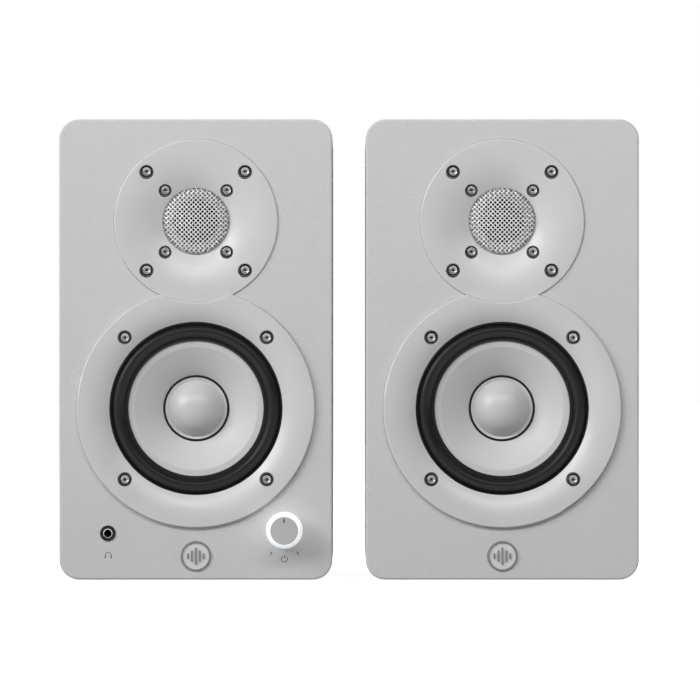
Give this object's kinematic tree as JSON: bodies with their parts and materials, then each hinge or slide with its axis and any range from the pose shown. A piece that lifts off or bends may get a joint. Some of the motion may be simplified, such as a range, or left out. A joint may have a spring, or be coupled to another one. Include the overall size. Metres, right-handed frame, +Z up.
{
  "type": "desktop speakers",
  "caption": "Pair of small light grey powered two-way monitor speakers: woofer below, tweeter in a round waveguide above, with a lit volume knob and headphone jack on the left one.",
  "frame": {"origin": "on the surface the pair stands on, under the middle of the whole pair", "axes": "+X to the right along the pair, -Y out of the fronts towards the listener, +Z up"},
  "size_m": [0.28, 0.189, 0.223],
  "materials": {
    "cabinet_paint": "matte, finely pebbled light grey paint on board",
    "trim_plastic": "satin pale grey",
    "cone_plastic": "smooth light grey",
    "cap_plastic": "satin light grey",
    "surround_rubber": "black, soft",
    "pad_rubber": "black",
    "pressed_steel": "black coated steel",
    "ferrite": "dark ferrite",
    "coil_metal": "former with copper winding",
    "spider_cloth": "impregnated cloth",
    "dome_cloth": "coated cloth",
    "mesh_wire": "bright woven wire",
    "screw_steel": "bright head, grey flange",
    "badge_metal": "satin",
    "black_plastic": "black",
    "lever_black": "black",
    "lever_red": "red",
    "light_plastic": "translucent white, lit from inside",
    "cap_grey": "satin grey",
    "circuit_board": "green board with its parts",
    "panel_paint": "light grey coated sheet steel",
    "jack_metal": "plated"
  },
  "bodies": {
    "left_speaker": {"amplifier_board": "circuit_board", "combo_jacks": "black_plastic", "control_board": "circuit_board", "headphone_jack": "black_plastic", "left_badge": "badge_metal", "left_cabinet": "cabinet_paint", "left_front_baffle": "cabinet_paint", "left_pads": "pad_rubber", "left_port_tube": "black_plastic", "left_terminal_block": "black_plastic", "left_tweeter_mesh": "mesh_wire", "left_tweeter_motor": "pressed_steel", "left_tweeter_screws": "screw_steel", "left_tweeter_waveguide": "trim_plastic", "left_woofer_frame": "pressed_steel", "left_woofer_magnet": "ferrite", "left_woofer_plates": "pressed_steel", "left_woofer_screws": "screw_steel", "left_woofer_spider": "spider_cloth", "left_woofer_surround": "surround_rubber", "left_woofer_trim_ring": "trim_plastic", "line_jacks": "jack_metal", "mains_inlet": "black_plastic", "rear_panel": "panel_paint", "rear_panel_screws": "screw_steel"},
    "left_woofer_moving": {"left_woofer_cone": "cone_plastic", "left_woofer_dust_cap": "cap_plastic", "left_woofer_voice_coil": "coil_metal"},
    "left_tweeter_moving": {"left_tweeter_dome": "dome_cloth"},
    "left_black_clip": {"left_black_lever": "lever_black"},
    "left_red_clip": {"left_red_lever": "lever_red"},
    "right_woofer_moving": {"right_woofer_cone": "cone_plastic", "right_woofer_dust_cap": "cap_plastic", "right_woofer_voice_coil": "coil_metal"},
    "right_tweeter_moving": {"right_tweeter_dome": "dome_cloth"},
    "right_black_clip": {"right_black_lever": "lever_black"},
    "right_red_clip": {"right_red_lever": "lever_red"},
    "knob_stem": {"knob_plunger": "black_plastic"},
    "volume_knob": {"knob_skirt": "light_plastic", "knob_cap": "cap_grey"},
    "room_slider": {"room_control_switch": "black_plastic"},
    "trim_slider": {"high_trim_switch": "black_plastic"},
    "right_speaker": {"crossover_board": "circuit_board", "right_badge": "badge_metal", "right_cabinet": "cabinet_paint", "right_front_baffle": "cabinet_paint", "right_pads": "pad_rubber", "right_port_tube": "black_plastic", "right_terminal_block": "black_plastic", "right_tweeter_mesh": "mesh_wire", "right_tweeter_motor": "pressed_steel", "right_tweeter_screws": "screw_steel", "right_tweeter_waveguide": "trim_plastic", "right_woofer_frame": "pressed_steel", "right_woofer_magnet": "ferrite", "right_woofer_plates": "pressed_steel", "right_woofer_screws": "screw_steel", "right_woofer_spider": "spider_cloth", "right_woofer_surround": "surround_rubber", "right_woofer_trim_ring": "trim_plastic"}
  },
  "joints": [
    {"name": "left_woofer_stroke", "type": "slide", "parent": "left_speaker", "child": "left_woofer_moving", "axis": [0, 1, 0], "range_m": [-0.0025, 0.0025], "stiffness_N_per_m": 900, "deforming": ["left_woofer_surround", "left_woofer_spider"]},
    {"name": "left_tweeter_stroke", "type": "slide", "parent": "left_speaker", "child": "left_tweeter_moving", "axis": [0, 1, 0], "range_m": [-0.00025, 0.00025], "stiffness_N_per_m": 300},
    {"name": "left_black_clip_press", "type": "hinge", "parent": "left_speaker", "child": "left_black_clip", "pos_m": [-0.05005, 0.0843, 0.0625], "axis": [1, 0, 0], "range_deg": [0, 20], "stiffness_Nm_per_rad": 0.6},
    {"name": "left_red_clip_press", "type": "hinge", "parent": "left_speaker", "child": "left_red_clip", "pos_m": [-0.03605, 0.0843, 0.0625], "axis": [1, 0, 0], "range_deg": [0, 20], "stiffness_Nm_per_rad": 0.6},
    {"name": "right_woofer_stroke", "type": "slide", "parent": "right_speaker", "child": "right_woofer_moving", "axis": [0, 1, 0], "range_m": [-0.0025, 0.0025], "stiffness_N_per_m": 900, "deforming": ["right_woofer_surround", "right_woofer_spider"]},
    {"name": "right_tweeter_stroke", "type": "slide", "parent": "right_speaker", "child": "right_tweeter_moving", "axis": [0, 1, 0], "range_m": [-0.00025, 0.00025], "stiffness_N_per_m": 300},
    {"name": "right_black_clip_press", "type": "hinge", "parent": "right_speaker", "child": "right_black_clip", "pos_m": [0.09805, 0.0828, 0.0625], "axis": [1, 0, 0], "range_deg": [0, 20], "stiffness_Nm_per_rad": 0.6},
    {"name": "right_red_clip_press", "type": "hinge", "parent": "right_speaker", "child": "right_red_clip", "pos_m": [0.11205, 0.0828, 0.0625], "axis": [1, 0, 0], "range_deg": [0, 20], "stiffness_Nm_per_rad": 0.6},
    {"name": "knob_press", "type": "slide", "parent": "left_speaker", "child": "knob_stem", "axis": [0, 1, 0], "range_m": [0, 0.0006], "stiffness_N_per_m": 3000},
    {"name": "knob_turn", "type": "hinge", "parent": "knob_stem", "child": "volume_knob", "pos_m": [-0.03125, -0.082, 0.02445], "axis": [0, 1, 0], "range_deg": [-150, 150]},
    {"name": "room_control_slide", "type": "slide", "parent": "left_speaker", "child": "room_slider", "axis": [1, 0, 0], "range_m": [-0.002, 0.002]},
    {"name": "high_trim_slide", "type": "slide", "parent": "left_speaker", "child": "trim_slider", "axis": [1, 0, 0], "range_m": [-0.002, 0.002]},
    {"name": "right_speaker_place", "type": "slide", "parent": "left_speaker", "child": "right_speaker", "axis": [1, 0, 0], "range_m": [0, 0.25]}
  ]
}
